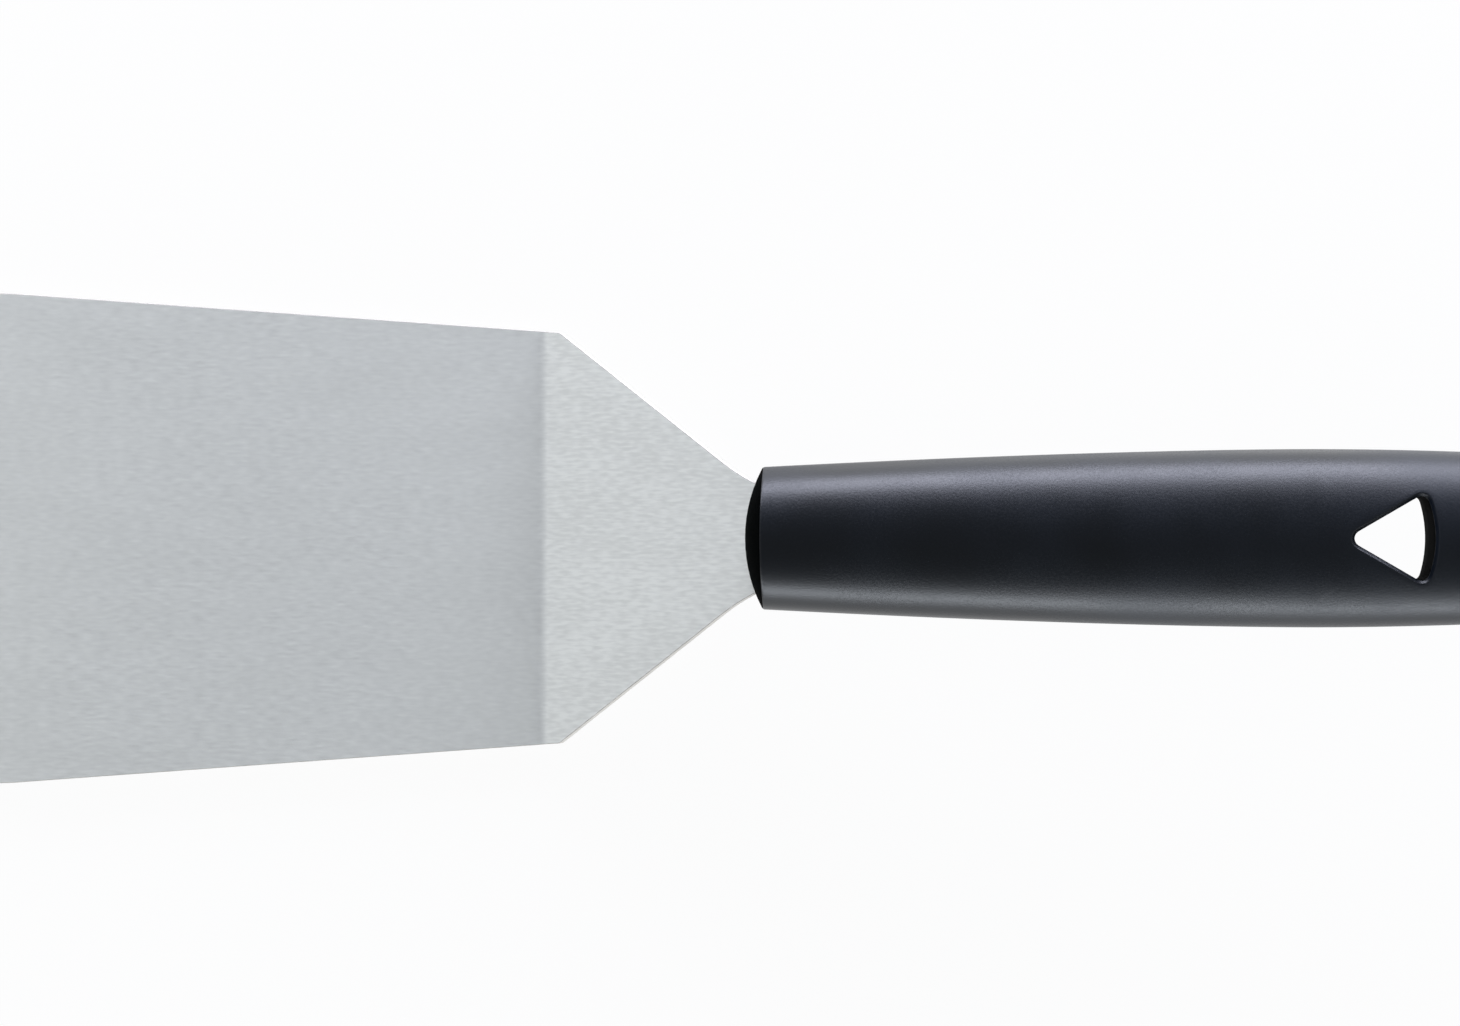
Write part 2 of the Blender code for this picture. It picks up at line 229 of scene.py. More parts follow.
def folded_sheet(name, grow):
    """The folded sheet, with grow added all over it. Its UV map holds the flat blank, in metres."""
    shape = bmesh.new()
    rings = []
    for offset, height in edge_rings(grow):
        rings.append([shape.verts.new((p.x, p.y, height)) for p in blank_outline(offset)])
    join_rings(shape, rings[:2], GROUND)
    join_rings(shape, rings[1:-1], SHEARED)
    join_rings(shape, rings[-2:], GROUND)
    shape.faces.new(rings[0])
    shape.faces.new(rings[-1])
    for place in slice_places():
        everything = [*shape.verts, *shape.edges, *shape.faces]
        bmesh.ops.bisect_plane(shape, geom=everything, plane_co=(place, 0, 0), plane_no=(1, 0, 0))
    pattern = shape.loops.layers.uv.new(FLAT_PATTERN)
    for face in shape.faces:
        for loop in face.loops:
            x, y, height = loop.vert.co
            drop = SHEET_THICKNESS / 2 - height  # unrolls the edge's wall, which would be a line in plan
            loop[pattern].uv = ((y + math.copysign(drop, y)) * MM, (x - drop) * MM)
    for vert in shape.verts:
        x, z, slope = folded(vert.co.x)
        height = vert.co.z
        vert.co = (x - height * math.sin(slope), vert.co.y, z + height * math.cos(slope))
    return make_piece(name, shape, finishes=2)


blade_sheet = folded_sheet("blade_sheet", 0)
print("blade sheet:", len(blade_sheet.data.polygons), "faces")

# %% [markdown]
# ## Holes in the tang
# The tang is punched with three holes, so that molten plastic flows through it and locks it. Nobody sees
# them, but the core's pins run through them, and the meshes of a good part fit inside as well as outside.
# A Boolean is the plain way to punch a hole, and it is applied at once, so that no helper object stays
# behind.

# %% Punch the tang
TANG_HOLE_DIAMETER = 4.5
TANG_HOLE_COUNT = 3
TANG_HOLE_PITCH = 14.0
TANG_HOLE_END_MARGIN = 8.0
PUNCH_SIDES = 48
PUNCH_LENGTH = 3 * SHEET_THICKNESS  # goes well past both faces


def cut_away(piece, cutter):
    """Takes the cutter's space out of a piece for good, and removes the cutter."""
    boolean = piece.modifiers.new("cut", "BOOLEAN")
    boolean.solver = "EXACT"
    boolean.object = cutter
    graph = bpy.context.evaluated_depsgraph_get()
    result = piece.evaluated_get(graph)
    whole, name = piece.data, piece.data.name
    cut = bpy.data.meshes.new_from_object(result, preserve_all_data_layers=True, depsgraph=graph)
    piece.modifiers.clear()
    piece.data = cut
    bpy.data.meshes.remove(whole)
    bpy.data.objects.remove(cutter)
    cut.name = name
    cut.set_sharp_from_angle(angle=SHARP_ANGLE)


punches = bmesh.new()
for i in range(TANG_HOLE_COUNT):
    along = NOSE_INSET + TANG_LENGTH - TANG_HOLE_END_MARGIN - TANG_HOLE_PITCH * i
    bmesh.ops.create_cone(
        punches,
        cap_ends=True,
        segments=PUNCH_SIDES,
        radius1=TANG_HOLE_DIAMETER / 2,
        radius2=TANG_HOLE_DIAMETER / 2,
        depth=PUNCH_LENGTH,
        matrix=Matrix.Translation((along, 0, 0)),
    )
cut_away(blade_sheet, make_piece("punches", punches, HANDLE))
print("blade sheet with its holes:", len(blade_sheet.data.polygons), "faces")

# %% [markdown]
# ## The grip's long lines
# The outer moulding is an oval bar that swells from the nose to the palm and falls away again to the
# butt. Both ends are parts of balls. Each long line of the mesh runs from pole to pole at one turn round
# the axis: over the nose, round its rim, along the side, round the butt's rim and over the butt. Working
# in lines rather than in rings lets the two rims follow the ball's true edge, which dips where the oval
# is wide.

# %% Sizes of the grip in millimetres, from the front of its nose
GRIP_LENGTH = 125.0
NOSE_WIDTH = 21.6
NOSE_THICKNESS = 19.3
NOSE_DOME_RADIUS = 23.2
NOSE_EDGE_ROUNDING = 0.35
PALM_WIDTH = 27.4
PALM_THICKNESS = 21.4
PALM_POSITION = 86.6
SWELL_POWER = 1.6
BUTT_WIDTH = 25.2
BUTT_THICKNESS = 19.6
BUTT_DOME_RADIUS = 30.0
BUTT_EDGE_ROUNDING = 3.5


def grip_half_sizes(along):
    """Half width and half thickness of the oval section at a distance from the nose."""
    along = np.asarray(along, float)
    ahead = np.clip((PALM_POSITION - along) / PALM_POSITION, 0, None) ** SWELL_POWER
    behind = np.clip((along - PALM_POSITION) / (GRIP_LENGTH - PALM_POSITION), 0, None) ** 2
    width = PALM_WIDTH - (PALM_WIDTH - NOSE_WIDTH) * ahead - (PALM_WIDTH - BUTT_WIDTH) * behind
    thickness = PALM_THICKNESS - (PALM_THICKNESS - NOSE_THICKNESS) * ahead
    thickness = thickness - (PALM_THICKNESS - BUTT_THICKNESS) * behind
    return width / 2, thickness / 2


print("half sizes at nose, palm and butt:", grip_half_sizes([0, PALM_POSITION, GRIP_LENGTH]))

# %% Where the hang hole lies
HANG_HOLE_LENGTH = 12.9
HANG_HOLE_APEX_ANGLE = math.radians(60.0)
HANG_HOLE_CORNER_RADIUS = 1.0
HANG_HOLE_CROWN_RADIUS = 18.0
HANG_HOLE_FROM_BUTT = 19.95
HANG_HOLE_DRAFT = math.radians(1.4)
CENTRE_FROM_CROWN = 5.4
HOLE_CROWN = GRIP_LENGTH - HANG_HOLE_FROM_BUTT
HOLE_CENTRE = HOLE_CROWN - CENTRE_FROM_CROWN
WINDOW_MARGIN = 5.2
WINDOW_FRONT = HOLE_CROWN - HANG_HOLE_LENGTH - WINDOW_MARGIN
WINDOW_BACK = HOLE_CROWN + WINDOW_MARGIN
print(f"window for the hang hole: {WINDOW_FRONT:.1f} to {WINDOW_BACK:.1f} mm from the nose")

# %% One long line of the grip
GRIP_SIDES = 120
DOME_STEPS = 7
RIM_STEPS = 6
BLEND_STEPS = 4
NOSE_BLEND_END = 9.0
BODY_STEPS = 28
WINDOW_STEPS = 32
DOME_FIT_PASSES = 12


def curve(start, middle, end, steps):
    """Steps of a quadratic curve that leaves start and reaches end along the lines through middle."""
    shares = np.linspace(0, 1, steps + 1)
    return [(1 - s) ** 2 * start + 2 * s * (1 - s) * middle + s**2 * end for s in shares]


def side_points(along, turn):
    """Points on the grip's side."""
    half_width, half_thickness = grip_half_sizes(along)
    return np.stack([along, half_width * math.cos(turn), half_thickness * math.sin(turn)], -1)


def domed_end(turn, tip, inwards, radius, rounding):
    """One line over a ball-shaped end, from beside its pole to the end of its rim's rounding."""
    along = tip
    for _ in range(DOME_FIT_PASSES):
        edge = side_points(along, turn)
        along = tip + inwards * (radius - math.sqrt(radius**2 - edge[1] ** 2 - edge[2] ** 2))
    reach = 1 - rounding / math.hypot(edge[1], edge[2])
    shares = reach * np.arange(1, DOME_STEPS + 1)[:, None] / DOME_STEPS
    across = shares * edge[1:]
    depth = radius - np.sqrt(radius**2 - (across**2).sum(1, keepdims=True))
    dome = np.concatenate([tip + inwards * depth, across], 1)
    rim = curve(dome[-1], edge, side_points(along + inwards * rounding, turn), RIM_STEPS)
    return np.concatenate([dome, rim[1:]])


def long_line(turn):
    """One line of points from beside the nose's pole to beside the butt's."""
    nose = domed_end(turn, 0.0, 1, NOSE_DOME_RADIUS, NOSE_EDGE_ROUNDING)
    butt = domed_end(turn, GRIP_LENGTH, -1, BUTT_DOME_RADIUS, BUTT_EDGE_ROUNDING)[::-1]
    body = np.concatenate([
        np.linspace(nose[-1][0], NOSE_BLEND_END, BLEND_STEPS + 1)[1:-1],
        np.linspace(NOSE_BLEND_END, WINDOW_FRONT, BODY_STEPS + 1)[:-1],
        np.linspace(WINDOW_FRONT, WINDOW_BACK, WINDOW_STEPS + 1),
        np.linspace(WINDOW_BACK, butt[0][0], BLEND_STEPS + 1)[1:-1],
    ])
    return np.concatenate([nose, side_points(body, turn), butt])


print("points along one line:", len(long_line(0.0)))

# %% [markdown]
# ## The hang hole
# A hook goes through a rounded triangle near the butt. Its walls open by a degree or so from the middle
# of the handle towards both faces, because the two halves of the mould pull away there. A small steep
# chamfer, with eased edges, runs round its rim and catches the light. A Boolean would leave slivers on
# the curved faces, and a bevel on slivers tears. So a window is left open in the long lines, and rings
# lead from its border, along rays from the hole's centre, to the rim, down the chamfer and down the wall.

# %% The hole's outline along rays from its centre
OUTLINE_STEPS = 60


def hole_outline(grow):
    """The rounded triangle, moved outwards by grow, as close points in the handle's plane."""
    half_apex = HANG_HOLE_APEX_ANGLE / 2
    radius = HANG_HOLE_CORNER_RADIUS
    apex = Vector((HOLE_CROWN - HANG_HOLE_LENGTH + radius / math.sin(half_apex), 0))
    crown = Vector((HOLE_CROWN - HANG_HOLE_CROWN_RADIUS, 0))
    way = Vector((math.cos(half_apex), math.sin(half_apex)))
    ahead = (apex - crown).dot(way)
    inner = HANG_HOLE_CROWN_RADIUS - radius
    run = math.sqrt(ahead**2 - (apex - crown).length_squared + inner**2) - ahead
    corner = apex + run * way
    side_turn = math.pi / 2 + half_apex
    crown_turn = math.atan2(corner.y, corner.x - crown.x)
    out = (radius + grow) * Vector((math.cos(side_turn), math.sin(side_turn)))
    half = arc(crown, HANG_HOLE_CROWN_RADIUS, 0, crown_turn, grow)
    half += arc(corner, radius, crown_turn, side_turn, grow)
    half += [(corner + out).lerp(apex + out, i / OUTLINE_STEPS) for i in range(1, OUTLINE_STEPS)]
    half += arc(apex, radius, side_turn, math.pi, grow)
    return np.array(half + [Vector((p.x, -p.y)) for p in reversed(half)])


def hole_edge(turns, grow):
    """Where rays from the hole's centre, at these turns, meet the outline moved outwards by grow."""
    points = hole_outline(grow) - (HOLE_CENTRE, 0)
    reach = np.interp(turns, np.arctan2(points[:, 1], points[:, 0]), np.hypot(*points.T), period=math.tau)
    return np.stack([HOLE_CENTRE + reach * np.cos(turns), reach * np.sin(turns)], -1)


print("hole, mm:", np.ptp(hole_outline(0), axis=0).round(2))

# %% Rings from the window's border down to the middle of the handle
PATCH_RINGS = 6
CHAMFER_WIDTH = 0.5
CHAMFER_SLOPE = math.radians(55.0)
CHAMFER_DEPTH = CHAMFER_WIDTH * math.tan(CHAMFER_SLOPE)
CHAMFER_EASING = 0.12
EASING_STEPS = 3
SATIN_RINGS = PATCH_RINGS + 2 * EASING_STEPS + 1
WALL_STEPS = 4
PARTING_MARGIN = 0.25
LIP_GROW = PALM_THICKNESS / 2 * math.tan(HANG_HOLE_DRAFT)  # how far the draft opens the hole at the face


def on_face(plan):
    """Plan points lifted onto the grip's upper face."""
    half_width, half_thickness = grip_half_sizes(plan[:, 0])
    height = half_thickness * np.sqrt(1 - (plan[:, 1] / half_width) ** 2)
    return np.concatenate([plan, height[:, None]], 1)


def hole_wall(turns, height):
    """Points on the hole's drafted wall."""
    share = height[:, None] / (PALM_THICKNESS / 2)
    plan = hole_edge(turns, 0) * (1 - share) + hole_edge(turns, LIP_GROW) * share
    return np.concatenate([plan, height[:, None]], 1)


def hole_rings(border):
    """Rings of points from just inside a border, given in plan, to the middle of the handle."""
    turns = np.arctan2(border[:, 1], border[:, 0] - HOLE_CENTRE)
    lip = on_face(hole_edge(turns, LIP_GROW))
    face_edge = on_face(hole_edge(turns, LIP_GROW + CHAMFER_WIDTH))
    wall_edge = hole_wall(turns, lip[:, 2] - CHAMFER_DEPTH)
    eased = (wall_edge - face_edge) * CHAMFER_EASING / CHAMFER_WIDTH
    below = hole_wall(turns, lip[:, 2] - CHAMFER_DEPTH - CHAMFER_EASING)

    outer = hole_edge(turns, LIP_GROW + CHAMFER_WIDTH + CHAMFER_EASING)
    shares = np.linspace(0, 1, PATCH_RINGS + 1)[1:]
    rings = [on_face(border + (outer - border) * share) for share in shares]
    rings += curve(rings[-1], face_edge, face_edge + eased, EASING_STEPS)[1:]
    rings += curve(wall_edge - eased, wall_edge, below, EASING_STEPS)
    for share in np.linspace(1, 0, WALL_STEPS + 1)[1:-1]:
        rings.append(hole_wall(turns, PARTING_MARGIN + (below[:, 2] - PARTING_MARGIN) * share))
    rings.append(hole_wall(turns, np.full(len(turns), PARTING_MARGIN)))
    rings.append(hole_wall(turns, np.zeros(len(turns))))
    return rings


print("rings down to the parting plane:", SATIN_RINGS + WALL_STEPS + 1)

# %% The window's place among the rings and lines
WINDOW_TURN = math.radians(42.0)
FRONT_RING = DOME_STEPS + RIM_STEPS + BLEND_STEPS - 1 + BODY_STEPS
BACK_RING = FRONT_RING + WINDOW_STEPS
FIRST_LINE = round(GRIP_SIDES * WINDOW_TURN / math.tau)
LAST_LINE = GRIP_SIDES // 2 - FIRST_LINE


def in_window(ring, line):
    """Whether the face after this ring and line lies in the upper or the lower window."""
    half_turn = min(line, GRIP_SIDES - 1 - line)
    return FRONT_RING <= ring < BACK_RING and FIRST_LINE <= half_turn < LAST_LINE


def window_border():
    """(ring, line) of each point round the upper window."""
    border = [(FRONT_RING, j) for j in range(FIRST_LINE, LAST_LINE)]
    border += [(i, LAST_LINE) for i in range(FRONT_RING, BACK_RING)]
    border += [(BACK_RING, j) for j in range(LAST_LINE, FIRST_LINE, -1)]
    return border + [(i, FIRST_LINE) for i in range(BACK_RING, FRONT_RING, -1)]


print("points round the window:", len(window_border()))

# %% Make the grip
# The second finish is rough and painted as shade: a neutral black that barely reflects, on the nose up to
# the middle of its rim and on the hole's wall
SATIN, MATTE_PAINTED_SHADE = 0, 1  # numbers of the grip's two finishes
MATTE_PAINTED_SHADE_RINGS = DOME_STEPS + RIM_STEPS // 2 - 1  # the nose is matte to the middle of its rim


def grip_skin(shape):
    """The grip's outside with both windows open. Returns its rings of points."""
    lines = []
    for side in range(GRIP_SIDES):
        lines.append([shape.verts.new(p) for p in long_line(math.tau * side / GRIP_SIDES)])
    rings = list(zip(*lines))
    for pole, ring, finish in ((0.0, rings[0], MATTE_PAINTED_SHADE), (GRIP_LENGTH, rings[-1], SATIN)):
        centre = shape.verts.new((pole, 0, 0))
        for i in range(GRIP_SIDES):
            shape.faces.new((centre, ring[i - 1], ring[i])).material_index = finish
    for i, (near, far) in enumerate(zip(rings, rings[1:])):
        for j in range(GRIP_SIDES):
            if not in_window(i, j):
                k = (j + 1) % GRIP_SIDES
                face = shape.faces.new((near[j], near[k], far[k], far[j]))
                face.material_index = MATTE_PAINTED_SHADE if i < MATTE_PAINTED_SHADE_RINGS else SATIN
    return rings


def grip_shell():
    """The grip's whole outside, with the hang hole through both windows."""
    shape = bmesh.new()
    rings = grip_skin(shape)
    border = window_border()
    down = hole_rings(np.array([rings[i][j].co[:2] for i, j in border]))
    middle = [shape.verts.new(p) for p in down[-1]]
    for sign in (1, -1):
        start = [rings[i][sign * j % GRIP_SIDES] for i, j in border]
        faces = [[shape.verts.new(p * (1, 1, sign)) for p in ring] for ring in down[:-1]]
        join_rings(shape, [start, *faces[:SATIN_RINGS]], SATIN)
        join_rings(shape, [*faces[SATIN_RINGS - 1 :], middle], MATTE_PAINTED_SHADE)
    bmesh.ops.delete(shape, geom=[v for v in shape.verts if not v.link_faces], context="VERTS")
    return make_piece("satin_grip", shape, HANDLE, finishes=2)


satin_grip = grip_shell()
print("grip:", len(satin_grip.data.polygons), "faces")

# %% [markdown]
# ## Room for the core and the sheet
# Inside, the grip is hollow: it was moulded over an inner core, and the sheet's tang passes through its
# nose. The hollow and the slot are cut with Booleans, because both lie out of sight or end in a sharp
# edge anyway. The slot is tight, since the plastic was injected round the steel and no gap can be seen
# where they meet.

# %% Cut the hollow and the slot
CORE_FRONT = 8.0
CORE_SKIN = 3.0
CORE_END_WALL = 5.0
CORE_CLEARANCE = 0.15
SLOT_CLEARANCE = 0.04
HOLLOW_STEPS = 8
HOLLOW_SIDES = 64

hollow = bmesh.new()
hollow_rings = []
hollow_end = NOSE_INSET + TANG_LENGTH + CORE_END_WALL + CORE_CLEARANCE
for along in np.linspace(CORE_FRONT - CORE_CLEARANCE, hollow_end, HOLLOW_STEPS + 1):
    half_sizes = np.array(grip_half_sizes(along)) - CORE_SKIN + CORE_CLEARANCE
    turns = [math.tau * i / HOLLOW_SIDES for i in range(HOLLOW_SIDES)]
    ring = [(along, half_sizes[0] * math.cos(t), half_sizes[1] * math.sin(t)) for t in turns]
    hollow_rings.append([hollow.verts.new(p) for p in ring])
join_rings(hollow, hollow_rings)
hollow.faces.new(hollow_rings[0])
hollow.faces.new(hollow_rings[-1])
cut_away(satin_grip, make_piece("hollow", hollow, HANDLE))
cut_away(satin_grip, folded_sheet("slot", SLOT_CLEARANCE))
print("grip with hollow and slot:", len(satin_grip.data.polygons), "faces")

# %% [markdown]
# ## Tools for the finishes
# Colours are written as sRGB hex values, as a colour picker gives them, but the shader works in linear
# light, so one function converts them. A second function adds a node, sets its properties, gives a colour
# ramp its stops, and fills or links the sockets. With it each finish below is short enough to read as a
# recipe.

# %% Colour and node helpers
MICRON = 0.000001


def linear(hex_colour):
    """An sRGB hex colour as linear RGBA."""
    channels = [int(hex_colour[i : i + 2], 16) / 255 for i in (1, 3, 5)]
    return (*[c / 12.92 if c <= 0.04045 else ((c + 0.055) / 1.055) ** 2.4 for c in channels], 1.0)


def add(tree, kind, sockets, stops=(), **settings):
    """A new node with these settings and ramp stops. A socket takes a value, or a link from an output."""
    node = tree.nodes.new("ShaderNode" + kind)
    for name, value in settings.items():
        setattr(node, name, value)
    for i, (position, colour) in enumerate(stops):
        elements = node.color_ramp.elements
        element = elements[i] if i < len(elements) else elements.new(position)
        element.position = position
        element.color = colour
    for name, value in sockets.items():
        if isinstance(value, bpy.types.NodeSocket):
            tree.links.new(value, node.inputs[name])
        else:
            node.inputs[name].default_value = value
    return node


def new_finish(name):
    """An empty node material and its tree."""
    finish = bpy.data.materials.new(name)
    finish.use_nodes = True
    finish.node_tree.nodes.clear()
    return finish, finish.node_tree


print("mid grey in linear light:", round(linear("#808080")[0], 3))

# %% [markdown]
# ## The belt's grain on the sheet
# The sheet is stainless steel, ground along its length with a fine belt. Each grit leaves a groove a few
# millimetres long and thinner than a hair. Here and there one digs deeper and leaves a fleck, and the
# belt's uneven pressure leaves wide cloudy bands. Noise that is stretched along the sheet gives all
# three. It lies on the flat pattern's UV map and not on object coordinates, so that the grain turns with
# the sheet at the folds as the real one does.

# %% Grain
GRAIN_WIDTH = 0.4  # a real groove is about a tenth of this, too fine to show
GRAIN_LENGTH = 2.4
FLECK_WIDTH = 0.52
FLECK_LENGTH = 1.6
CLOUD_WIDTH = 7.0
CLOUD_LENGTH = 26.0
FLECK_SHARE = 0.4
CLOUD_SHARE = 0.35


def grain(tree, place, width, length, detail):
    """Noise stretched along the sheet: patches of this width and length in millimetres."""
    scale = (1 / (width * MM), 1 / (length * MM), 1.0)
    stretched = add(tree, "Mapping", {"Vector": place, "Scale": scale}).outputs["Vector"]
    return add(tree, "TexNoise", {"Vector": stretched, "Scale": 1.0, "Detail": detail}).outputs["Fac"]


def belt_marks(tree, place):
    """The grooves by themselves, and the grooves with the flecks and clouds added."""
    fine = grain(tree, place, GRAIN_WIDTH, GRAIN_LENGTH, 2.0)
    fleck = grain(tree, place, FLECK_WIDTH, FLECK_LENGTH, 0.0)
    cloud = grain(tree, place, CLOUD_WIDTH, CLOUD_LENGTH, 1.0)
    mixed = add(tree, "Math", {0: fleck, 1: FLECK_SHARE, 2: fine}, operation="MULTIPLY_ADD")
    mixed = add(tree, "Math", {0: cloud, 1: CLOUD_SHARE, 2: mixed.outputs[0]}, operation="MULTIPLY_ADD")
    return fine, mixed.outputs[0]


print(f"grooves {GRAIN_WIDTH} x {GRAIN_LENGTH} mm, clouds {CLOUD_WIDTH} x {CLOUD_LENGTH} mm")

# %% [markdown]
# ## Ground stainless steel
# Ground steel spreads light widely across its grooves and hardly along them, so the sheet looks evenly
# pale, with faint streaks, and never mirrors anything. Plain roughness would spread the light the same
# way all round. An anisotropic metal doesn't, and its tangent comes from the flat pattern too. The
# streaks show more strongly on the shoulder than on the blade, so their contrast changes over the fold.
# The sheared edge is taken to be tumbled and no more, which would leave it dull and without a grain to
# speak of.

# %% Stainless finish
MARK_RANGE = (0.38, 0.62)  # noise keeps near its middle, so the two tones are set there
MARK_MIDDLE = 0.5
BLADE_CONTRAST = 0.6
SHOULDER_CONTRAST = 1.2
DULLNESS_RANGE = 0.03


def stainless(name, dark, light, dullness, spread, groove_depth):
    """Stainless steel: two tones, roughness, how one-sidedly it spreads light, grooves in microns."""
    finish, tree = new_finish(name)
    place = add(tree, "UVMap", {}, uv_map=FLAT_PATTERN).outputs["UV"]
    along = add(tree, "SeparateXYZ", {"Vector": place}).outputs["Y"]
    fine, marks = belt_marks(tree, place)
    contrast = add(tree, "MapRange", {
        "Value": along,
        "From Min": -CRANK_REACH * MM,
        "From Max": CRANK_REACH * MM,
        "To Min": BLADE_CONTRAST,
        "To Max": SHOULDER_CONTRAST,
    }).outputs["Result"]
    full = 1 + FLECK_SHARE + CLOUD_SHARE
    swing = add(tree, "Math", {0: marks, 1: 1 / full, 2: -MARK_MIDDLE}, operation="MULTIPLY_ADD").outputs[0]
    level = add(tree, "Math", {0: swing, 1: contrast, 2: MARK_MIDDLE}, operation="MULTIPLY_ADD").outputs[0]
    tone = add(tree, "ValToRGB", {"Fac": level}, zip(MARK_RANGE, (linear(dark), linear(light))))
    dull = add(tree, "MapRange", {
        "Value": fine,
        "From Min": MARK_RANGE[0],
        "From Max": MARK_RANGE[1],
        "To Min": dullness - DULLNESS_RANGE,
        "To Max": dullness + DULLNESS_RANGE,
    })
    groove = add(tree, "Bump", {"Height": marks, "Strength": 1.0, "Distance": groove_depth * MICRON})
    across = add(tree, "Tangent", {}, direction_type="UV_MAP", uv_map=FLAT_PATTERN)
    steel = add(tree, "BsdfPrincipled", {
        "Base Color": tone.outputs["Color"],
        "Metallic": 1.0,
        "Roughness": dull.outputs["Result"],
        "Anisotropic": spread,
        "Tangent": across.outputs["Tangent"],
        "Normal": groove.outputs["Normal"],
    })
    add(tree, "OutputMaterial", {"Surface": steel.outputs["BSDF"]})
    return finish


print("contrast of the streaks, blade and shoulder:", BLADE_CONTRAST, SHOULDER_CONTRAST)

# %% Finishes of the sheet
sheet_finishes = blade_sheet.data.materials
# A pale even face with faint streaks along it
sheet_finishes[GROUND] = stainless("ground_stainless_steel", "#D0D1CB", "#DEDFD9", 0.66, 0.6, 3)
# An edge that spreads light all round: no bright line from above, though one where it faces a side lamp
sheet_finishes[SHEARED] = stainless("sheared_stainless_edge", "#C2BFB9", "#D0CDC7", 0.9, 0.1, 8)
print("finishes:", [finish.name for finish in sheet_finishes])

# %% [markdown]
# ## Moulded plastic
# The grip is taken to be polypropylene, injected into a mould with spark-eroded faces of a fine even
# grain. The plastic is nearly black, so almost all that reaches the eye is a soft reflection, broken up
# by that grain. One value for the roughness would look like a drawing of plastic. Here the grain lifts a
# low bump and unsettles the roughness, and a wide noise varies the colour as a flowing melt might. Both
# rise a little from the nose to the butt. The rise in roughness is part of the finish. The colour, darker
# at the nose and lighter towards the butt, is painted light.

# %% Plastic finish
MOULD_GRAIN = 0.35  # a real one is about 0.05, too fine to show
FLOW_SIZE = 18.0
FLOW_RANGE = (0.3, 0.7)
# How far the painted light darkens the nose and lightens the butt, with the roughness rising along with it
PAINTED_LIGHT_RAMP_SHARE = 0.18
PIT_SHARE = 0.9
DULLNESS_SWING = 0.045
POLYPROPYLENE_IOR = 1.49


def moulded_plastic(name, dark, light, dullness, shine, grain_height):
    """A moulded plastic: two tones, mean roughness, specular level, height of its grain in microns."""
    finish, tree = new_finish(name)
    place = add(tree, "TexCoord", {}).outputs["Object"]
    pit_scale, flow_scale = 1 / (MOULD_GRAIN * MM), 1 / (FLOW_SIZE * MM)
    pits = add(tree, "TexNoise", {"Vector": place, "Scale": pit_scale, "Detail": 1.0}).outputs["Fac"]
    flow = add(tree, "TexNoise", {"Vector": place, "Scale": flow_scale, "Detail": 2.0}).outputs["Fac"]
    # Painted light: the colour darkens at the nose and lightens towards the butt, and the same ramp raises
    # the roughness
    painted_light_and_roughness_ramp = add(tree, "MapRange", {
        "Value": add(tree, "SeparateXYZ", {"Vector": place}).outputs["X"],
        "From Min": HANDLE.translation.x,
        "From Max": HANDLE.translation.x + GRIP_LENGTH * MM,
        "To Min": -PAINTED_LIGHT_RAMP_SHARE,
        "To Max": PAINTED_LIGHT_RAMP_SHARE,
    })
    level = add(tree, "Math", {0: flow, 1: painted_light_and_roughness_ramp.outputs["Result"]}, operation="ADD").outputs[0]
    uneven = add(tree, "Math", {0: pits, 1: PIT_SHARE, 2: level}, operation="MULTIPLY_ADD").outputs[0]
    dull = add(tree, "MapRange", {
        "Value": uneven,
        "From Min": FLOW_RANGE[0] + PIT_SHARE / 2,
        "From Max": FLOW_RANGE[1] + PIT_SHARE / 2,
        "To Min": dullness - DULLNESS_SWING,
        "To Max": dullness + DULLNESS_SWING,
    })
    grainy = add(tree, "Bump", {"Height": pits, "Strength": 1.0, "Distance": grain_height * MICRON})
    tone = add(tree, "ValToRGB", {"Fac": level}, zip(FLOW_RANGE, (linear(dark), linear(light))))
    plastic = add(tree, "BsdfPrincipled", {
        "Base Color": tone.outputs["Color"],
        "Roughness": dull.outputs["Result"],
        "IOR": POLYPROPYLENE_IOR,
        "Specular IOR Level": shine,
        "Normal": grainy.outputs["Normal"],
    })
    add(tree, "OutputMaterial", {"Surface": plastic.outputs["BSDF"]})
    return finish


print(f"grain {MOULD_GRAIN} mm, flow marks {FLOW_SIZE} mm")

# %% Finishes of the handle
grip_finishes = satin_grip.data.materials
# Soft bands of light along a body that is black with a breath of blue
grip_finishes[SATIN] = moulded_plastic("satin_black_polypropylene", "#01060D", "#050D17", 0.40, 0.38, 18)
# The nose and the hole's wall are rough and painted as shade, a neutral black that barely reflects, so they
# stay black under any light
grip_finishes[MATTE_PAINTED_SHADE] = moulded_plastic("matte_and_painted_shade_polypropylene", "#010202", "#020303", 0.85, 0.012, 10)
# Glass fibres make the hidden core greyer and rougher than the grip
core_plastic = moulded_plastic("glass_filled_core_plastic", "#26282A", "#34363A", 0.55, 0.5, 20)
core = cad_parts["handle_core"]
core.data.materials.clear()
core.data.materials.append(core_plastic)
print("finishes:", [finish.name for finish in [*grip_finishes, core_plastic]])

# %% [markdown]
# ## Each piece takes the place of its solid
# The sheet and the grip take the place of their plain solids, which are hidden, and ride on the only
# body there is. The core keeps its own solid, which nobody sees, with a better finish.

# %% Pieces and their solids
for piece, node, slot in (
    (blade_sheet, "blade", "stainless_sheet"),
    (satin_grip, "handle_grip", "grip_plastic"),
):
    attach(piece, "root")
    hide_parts(node)
    print(piece.name, "stands for", node)

# %% [markdown]
# ## The white cove
# A seamless white ground is what such tools are usually shown on. A plane would end at a horizon in low
# views. A round cove, floor and wall in one turned sheet, is white from any side. Its paper is a white
# diffuse surface, which keeps the soft shadow, mixed with plain white light for the rays that come from
# the camera or from a reflection, so that the ground shows white without any lamp being turned up.

# %% White paper
GLOW_SHARE = 0.94


